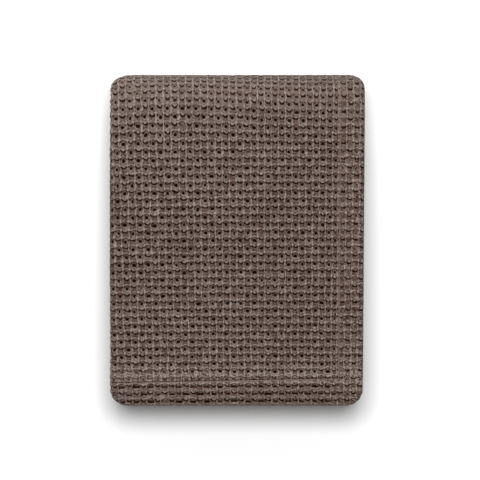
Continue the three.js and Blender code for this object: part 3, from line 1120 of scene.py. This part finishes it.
def stitches(name, middles, directions, normals):
    """A row of stitches as one mesh: rings of points round a short arc, at stages from end to end.

    A stage's centre is the middle, plus the direction times the stage's share of the stitch's length,
    plus the normal times the lift less the arch times the stage's square."""
    stage = STITCH_STAGES[None, :, None]
    angle = np.linspace(0, 2 * math.pi, ROUND_POINTS + 1)[:-1][None, None, :, None]
    binormals = np.cross(directions, normals)
    centre = middles[:, None] + directions[:, None] * stage * STITCH_SHARE * STITCH_LENGTH
    centre = centre + normals[:, None] * (STITCH_LIFT - STITCH_ARCH * stage ** 2)
    reach = STITCH_RADIUS * STITCH_WIDTHS[None, :, None, None]
    round_part = binormals[:, None, None] * np.cos(angle) + normals[:, None, None] * np.sin(angle)
    points = centre[:, :, None] + reach * round_part
    points[..., 2] = np.maximum(points[..., 2], 0)
    shape = points.shape[:3]
    index = np.arange(math.prod(shape)).reshape(shape)
    blocks = [
        (quads(index, closed=True), 4),
        (index[:, 0], ROUND_POINTS),
        (index[:, -1, ::-1], ROUND_POINTS),
    ]
    tone_and_painted_light = np.full(index.size, THREAD_TONE)
    piece = new_piece(name, points.reshape(-1, 3), blocks, np.zeros((index.size, 2)), tone_and_painted_light)
    print(name, "stitches:", len(middles))
    return piece


print("a stitch in mm, seen and from hole to hole:", [
    round(length / MM, 2) for length in (2 * STITCH_SHARE * STITCH_LENGTH, STITCH_LENGTH)
])

# %% Both seams
SEAM_DEPTH = 0.45 * MM
SEAM_OUTWARDS = 0.55 * MM


def seam_frames(across, along):
    """Middles, directions and outward normals of stitches along a seam, by small steps on the face.

    Of the grid of all places and stations, the diagonal holds each stitch's own."""
    across, along = np.broadcast_arrays(across, along)
    places = resampled(fine_places, fine_across, across)
    stations = resampled(fine_stations, fine_along, along)
    reach = np.hypot(places["inset_by"], places["height_by"])[None, :]
    own = np.arange(len(across))
    middles = cloth_points(places, stations, HALF_SHEET - SEAM_DEPTH / reach)[own, own]
    normals = cloth_points(places, stations, HALF_SHEET + SEAM_OUTWARDS / reach)[own, own] - middles
    directions = np.gradient(middles, axis=0)
    normals = normals / np.linalg.norm(normals, axis=1, keepdims=True)
    directions = directions / np.linalg.norm(directions, axis=1, keepdims=True)
    return middles, directions, normals


seam_rows = np.arange(END_SEAM["right"], under_front, STITCH_LENGTH)
seam_columns = np.arange(SIDE_SEAM + STITCH_LENGTH, wrap_start, STITCH_LENGTH)
seam_way = askew(END_SEAM["left"], END_SEAM["right"], seam_columns)
seams = [
    stitches("bedspread_side_stitches", *seam_frames(np.array([SIDE_SEAM]), seam_rows)),
    stitches("bedspread_end_stitches", *seam_frames(seam_columns, seam_way)),
]

# %% [markdown]
# The whole sheet, folded. It could be a thin plane with a Solidify modifier, but on turns this tight the
# modifier's inner side would fold over itself. So it is one closed mesh: the face side, the inner hem's
# edge, the back side and the outer hem's edge make a ring, and each station of the path carries one ring.
# Under a woven skin its face lies deeper, so that no pit of the skin meets it.

# %% Faces of the folded sheet
RECESS = 2.2 * MM
SKIN_MARGIN = 1.5 * MM


def covered_by_skins(u, run):
    """True where a woven skin lies over the cloth's face, by the way across and the number of the run."""
    covered = (u < skin_left - SKIN_MARGIN) & (run < 1) | (u < wrap_start + SKIN_MARGIN) & (run < 2)
    covered |= (u > wrap_start) & (u < wrap_end - SKIN_MARGIN)
    covered |= (u > right_start - OVERLAP + SKIN_MARGIN) & (u < right_end + OVERLAP - SKIN_MARGIN)
    return covered | (u > wrap_start) & (u < right_end) & np.isclose(run, 3.5)


def sheet_blocks(rows, ring, count):
    """Quads round the sheet from ring to ring, and at each end a strip of quads and two triangles.

    Of a ring's points, the first count are the face, then comes an edge, the back and the other edge."""
    index = np.arange(rows * ring).reshape(rows, ring)
    opposite = 2 * count - np.arange(count)
    i = np.arange(count - 1)
    cap = np.stack([i, i + 1, opposite[i + 1], opposite[i]], axis=-1)
    tips = np.array([[0, opposite[0], ring - 1], [count - 1, count, count + 1]])
    last = index[-1, 0]
    return [
        (quads(index, closed=True), 4),
        (cap, 4),
        (tips, 3),
        (last + cap[:, ::-1], 4),
        (last + tips[:, ::-1], 3),
    ]


few_blocks = sheet_blocks(rows=2, ring=10, count=4)
print("faces between and on two rings of 10 points:", [len(block) for block, size in few_blocks])

# %% The folded sheet
SHEET_TONE = 0.4


def folded_sheet(name, flat_step, turn_step):
    """The whole sheet as one closed mesh: a ring round the section at each station, and two flat ends."""
    places = strip_section(flat_step, turn_step)
    stations = stack_path(flat_step, 2.2 * turn_step)
    across = length_across(places)
    along = length_along(stations, HALF_STRIP)
    covered = covered_by_skins(across[None, :], stations["run"][:, None])
    tip_first = {key: values[:1].copy() for key, values in places.items()}
    tip_last = {key: values[-1:].copy() for key, values in places.items()}
    tip_first["inset"] -= HEM_EDGE_ROUND
    tip_last["inset"] -= HEM_EDGE_ROUND
    points = np.concatenate([
        cloth_points(places, stations, HALF_SHEET - RECESS * covered),
        cloth_points(tip_last, stations, np.zeros((1, 1))),
        cloth_points(backwards(places), stations, np.full((1, 1), -HALF_SHEET)),
        cloth_points(tip_first, stations, np.zeros((1, 1))),
    ], axis=1)
    rows, ring = points.shape[:2]
    ring_across, ring_rightness = (
        np.concatenate([values, values[-1:], values[::-1], values[:1]])[None, :]
        for values in (across, places["rightness"])
    )
    column, row = lattice(ring_across, along[:, None], ring_rightness, stations["rim"][:, None])
    uv = np.stack(np.broadcast_arrays(column, row), axis=-1).reshape(-1, 2)
    blocks = sheet_blocks(rows, ring, len(across))
    piece = new_piece(name, points.reshape(-1, 3), blocks, uv, np.full(rows * ring, SHEET_TONE))
    print(name, "triangles:", 2 * rows * ring, "stations", rows, "ring", ring)
    return piece


cloth = folded_sheet("bedspread_cloth", 13 * MM, 2.4 * MM)

# %% [markdown]
# Now the finish. Colours are written as sRGB hex values, as a colour picker shows them, and Blender
# wants linear ones, so one function turns them. Another adds a node, sets what it is told and links the
# rest, which keeps a node tree as short to read as a formula.

# %% Colours and nodes
def linear(hex_colour):
    """The linear colour of an sRGB hex value, each channel by the sRGB curve, with full alpha."""
    channels = [int(hex_colour[k:k + 2], 16) / 255 for k in (1, 3, 5)]
    return [c / 12.92 if c <= 0.04045 else ((c + 0.055) / 1.055) ** 2.4 for c in channels] + [1.0]


def add(tree, kind, inputs=None, **settings):
    """Adds a node of a kind, sets its settings, and sets or links each of its inputs."""
    node = tree.nodes.new(kind)
    for name, value in settings.items():
        setattr(node, name, value)
    for name, value in (inputs or {}).items():
        if isinstance(value, bpy.types.NodeSocket):
            tree.links.new(value, node.inputs[name])
        else:
            node.inputs[name].default_value = value
    return node


def new_material(name):
    """A material with an empty node tree, its output and its Principled shader."""
    material = bpy.data.materials.new(name)
    material.use_nodes = True
    tree = material.node_tree
    tree.nodes.clear()
    output = tree.nodes.new("ShaderNodeOutputMaterial")
    shader = tree.nodes.new("ShaderNodeBsdfPrincipled")
    tree.links.new(shader.outputs["BSDF"], output.inputs["Surface"])
    return material, tree, shader


print("middle taupe, linear:", [round(c, 3) for c in linear("#6c5f58")[:3]])

# %% [markdown]
# The cloth is combed cotton, spun thick and uneven and dyed a warm taupe. Cotton yarn is matt: fibres
# scatter the light, so it is rough, hardly glossy, and has a trace of sheen where they stand up. Deep in
# the weave it looks redder as well as darker, because light bounces from yarn to yarn and takes on its
# dye each time. So a colour ramp over the given light runs from a near-black brown to a greyish taupe.
# The slubs are 1.6 mm apart and the threads 1.5 mm, as in the real cloth, and both are too fine for the
# mesh, so they are bump and a little painted shade. The threads read the lattice's numbers, so they
# follow it.

# %% Threads and slubs
SLUB_SPACING = MM / 0.62
CELL_THREADS = (("X", 6), ("Y", 7))


def yarn_height(tree, place):
    """The yarn's fine relief: the product of two sines of the lattice numbers, plus three times a noise."""
    lattice_number = add(tree, "ShaderNodeUVMap", uv_map="weave")
    split = add(tree, "ShaderNodeSeparateXYZ", {"Vector": lattice_number.outputs["UV"]})
    waves = []
    for axis, threads in CELL_THREADS:
        turn = add(tree, "ShaderNodeMath", {0: split.outputs[axis], 1: 2 * math.pi * threads},
                   operation="MULTIPLY")
        waves.append(add(tree, "ShaderNodeMath", {0: turn.outputs["Value"]}, operation="SINE"))
    crossed = add(tree, "ShaderNodeMath", {0: waves[0].outputs["Value"], 1: waves[1].outputs["Value"]},
                  operation="MULTIPLY")
    slubs = add(tree, "ShaderNodeTexNoise", {
        "Vector": place.outputs["Object"], "Scale": 1 / SLUB_SPACING, "Detail": 3.0, "Roughness": 0.6,
    })
    rough = add(tree, "ShaderNodeMath", {0: slubs.outputs["Fac"], 1: 3.0}, operation="MULTIPLY")
    total = add(tree, "ShaderNodeMath", {0: crossed.outputs["Value"], 1: rough.outputs["Value"]},
                operation="ADD")
    return total.outputs["Value"]


thread_widths = (COLUMN_PITCH / CELL_THREADS[0][1], ROW_PITCH / CELL_THREADS[1][1])
print("threads are apart by mm:", [round(width / MM, 2) for width in thread_widths])

# %% Knobbly cotton yarn
TONE_STOPS = (
    (0.0, "#0b0301"),
    (0.03, "#1f0c04"),
    (0.093, "#3a261d"),
    (0.28, "#584941"),
    (0.47, "#6c5f58"),
    (0.73, "#82756f"),
    (1.0, "#958882"),
)
YARN_BUMP = 0.14 * MM
COTTON_GLOSS = {
    "Roughness": 0.92,
    "Specular IOR Level": 0.04,
    "Sheen Weight": 0.03,
    "Sheen Roughness": 0.5,
    "Sheen Tint": linear("#f3ede7"),
}


def knobbly_cotton(name):
    """Thick uneven cotton yarn: colour from the tone with the weave's painted light, slubs and threads as
    bump.

    The yarn's height also makes the colour up to 16 % darker or brighter, as painted light and shade."""
    material, tree, shader = new_material(name)
    place = add(tree, "ShaderNodeTexCoord")
    # The colour ramp reads the tone, with the weave's light and shade painted into it.
    tone_and_painted_light = add(tree, "ShaderNodeAttribute", attribute_name="tone_and_painted_light")
    ramp = add(tree, "ShaderNodeValToRGB", {"Fac": tone_and_painted_light.outputs["Fac"]})
    stops = ramp.color_ramp.elements
    for position, colour in TONE_STOPS[1:-1]:
        stops.new(position)
    for stop, (position, colour) in zip(stops, TONE_STOPS):
        stop.color = linear(colour)
    height = yarn_height(tree, place)
    # Painted light and shade from the yarn's height.
    shade = add(tree, "ShaderNodeMapRange", {
        "Value": height, "From Min": 0.0, "From Max": 3.0, "To Min": 0.84, "To Max": 1.16,
    })
    tinted = add(tree, "ShaderNodeVectorMath", {0: ramp.outputs["Color"]}, operation="SCALE")
    tree.links.new(shade.outputs["Result"], tinted.inputs["Scale"])
    bump = add(tree, "ShaderNodeBump", {"Height": height, "Distance": YARN_BUMP, "Strength": 1.0})
    tree.links.new(tinted.outputs["Vector"], shader.inputs["Base Color"])
    tree.links.new(bump.outputs["Normal"], shader.inputs["Normal"])
    for socket, value in COTTON_GLOSS.items():
        shader.inputs[socket].default_value = value
    return SimpleNamespace(
        material=material, tree=tree, shader=shader, place=place, tinted=tinted, bump=bump
    )


woven_cotton = knobbly_cotton("knobbly_cotton_yarn").material
print("nodes of the yarn material:", len(woven_cotton.node_tree.nodes))

# %% [markdown]
# Between the layers the same cloth shows as narrow edges, with no skin over them. There the eye sees rows
# of knobs with dark gaps, so the plain sheet gets them from its material: a Voronoi pattern has one round
# cell to each knob, 4.4 mm apart, with a painted highlight in its middle and painted shade at its rim, and
# it stands up as bump.

# %% Knobbly cotton at the edges
KNOB_SPACING = 4.4 * MM
KNOB_BUMP = 1.2 * MM


def knobbly_edge(name):
    """The cotton yarn with round knobs: painted brighter and higher the nearer a spot is to a Voronoi
    point, with painted shade in the gaps.
    """
    yarn = knobbly_cotton(name)
    knobs = add(yarn.tree, "ShaderNodeTexVoronoi", {
        "Vector": yarn.place.outputs["Object"], "Scale": 1 / KNOB_SPACING, "Randomness": 0.8,
    })
    # A painted highlight on each knob and painted shade in the gaps between.
    knob_light = add(yarn.tree, "ShaderNodeMapRange", {
        "Value": knobs.outputs["Distance"],
        "From Min": 0.1, "From Max": 0.75, "To Min": 1.45, "To Max": 0.4,
    })
    lit = add(yarn.tree, "ShaderNodeVectorMath", {0: yarn.tinted.outputs["Vector"]}, operation="SCALE")
    yarn.tree.links.new(knob_light.outputs["Result"], lit.inputs["Scale"])
    bump = add(yarn.tree, "ShaderNodeBump", {
        "Height": knobs.outputs["Distance"], "Distance": KNOB_BUMP, "Strength": 1.0,
        "Normal": yarn.bump.outputs["Normal"],
    }, invert=True)
    yarn.tree.links.new(lit.outputs["Vector"], yarn.shader.inputs["Base Color"])
    yarn.tree.links.new(bump.outputs["Normal"], yarn.shader.inputs["Normal"])
    return yarn.material


edge_cotton = knobbly_edge("knobbly_cotton_edge")
print("nodes of the edge material:", len(edge_cotton.node_tree.nodes))

# %% [markdown]
# Every piece gets its material and rides on the part's one body. The whole folded sheet stands in for
# the solid of the frame, and the skins and seams lie on it. The skins are woven out of the same yarn as
# the sheet, so all of them share one material.

# %% Dress the pieces and tie them to the frame
for piece in (cloth, *skins, *seams):
    piece.data.materials.append(edge_cotton if piece is cloth else woven_cotton)
    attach(piece, "root")
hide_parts("bedspread")
print("pieces:", 1 + len(skins) + len(seams))

# %% [markdown]
# The bedspread lies on something plain and pale. A matt sheet of paper, wider than any camera here can
# see, is enough for a floor. The cloth rests on it, and its flat size is that of the sheet unfolded.

# %% Floor
FLOOR_REACH = 4.0

floor_mesh = bpy.data.meshes.new("floor")
floor_corners = [(x * FLOOR_REACH, y * FLOOR_REACH, 0) for x, y in ((-1, -1), (1, -1), (1, 1), (-1, 1))]
floor_mesh.from_pydata(floor_corners, [], [(0, 1, 2, 3)])
floor = bpy.data.objects.new("floor", floor_mesh)
bpy.context.scene.collection.objects.link(floor)
paper, _, paper_shader = new_material("white_paper")
paper_shader.inputs["Base Color"].default_value = linear("#f6f6f6")
paper_shader.inputs["Roughness"].default_value = 0.9
floor_mesh.materials.append(paper)

# %% [markdown]
# The light in the photograph is soft and comes from straight above and a little from behind: the shadow
# is faint, and the fold at the back is as bright as the top. One wide lamp overhead, a weaker one low
# behind it and a grey sky do that, with the slow painted light on the back fold adding to it. Each lamp is
# turned to the cloth by two angles worked out from places.

# %% Light
LIT_SPOT = (0, 0, 0.1)
SKY_STRENGTH = 0.30


def area_light(name, place, size, power):
    """A soft round light at a place, turned to the cloth, as wide and as deep as its size says."""
    data = bpy.data.lights.new(name, "AREA")
    data.shape, data.energy = "ELLIPSE", power
    data.size, data.size_y = size
    light = bpy.data.objects.new(name, data)
    bpy.context.scene.collection.objects.link(light)
    light.location = place
    away = np.array(place) - np.array(LIT_SPOT)
    horizontal = math.hypot(away[0], away[1])
    light.rotation_euler = (math.atan2(horizontal, away[2]), 0, math.atan2(away[1], away[0]) + math.pi / 2)
    return light


lights = [
    area_light("key", (0, 0.44, 3.0), (1.6, 1.15), 85),
    area_light("window", (0, 1.8, 1.1), (1.0, 1.0), 16),
]
world = bpy.data.worlds.new("studio")
world.use_nodes = True
world.node_tree.nodes["Background"].inputs["Color"].default_value = (1, 1, 1, 1)
world.node_tree.nodes["Background"].inputs["Strength"].default_value = SKY_STRENGTH
bpy.context.scene.world = world
print("lights in watts:", [light.data.energy for light in lights])

# %% [markdown]
# The photograph looks straight down from far away. The camera's height is free, and the lens follows
# from it: one pixel has to span its real size at the height where the stack's outline is widest. The
# camera stands aside by as much as the bedspread lies out of the middle of the picture.

# %% Camera
PIXEL = 1.338 * MM
PIXELS = 480
CAMERA_ABOVE = 6.0
OUTLINE_HEIGHT = 0.095
SENSOR = 36.0
OBJECT_CENTRE = (237.0, 239.2)

camera_data = bpy.data.cameras.new("camera")
camera = bpy.data.objects.new("camera", camera_data)
bpy.context.scene.collection.objects.link(camera)
image_centre = (PIXELS - 1) / 2
camera.location = (
    (image_centre - OBJECT_CENTRE[0]) * PIXEL,
    (OBJECT_CENTRE[1] - image_centre) * PIXEL,
    CAMERA_ABOVE + OUTLINE_HEIGHT,
)
camera_data.sensor_width = SENSOR
camera_data.lens = SENSOR * CAMERA_ABOVE / (PIXELS * PIXEL)
bpy.context.scene.camera = camera
bpy.context.scene.view_settings.view_transform = "Standard"
print("lens in mm:", round(camera_data.lens, 1))
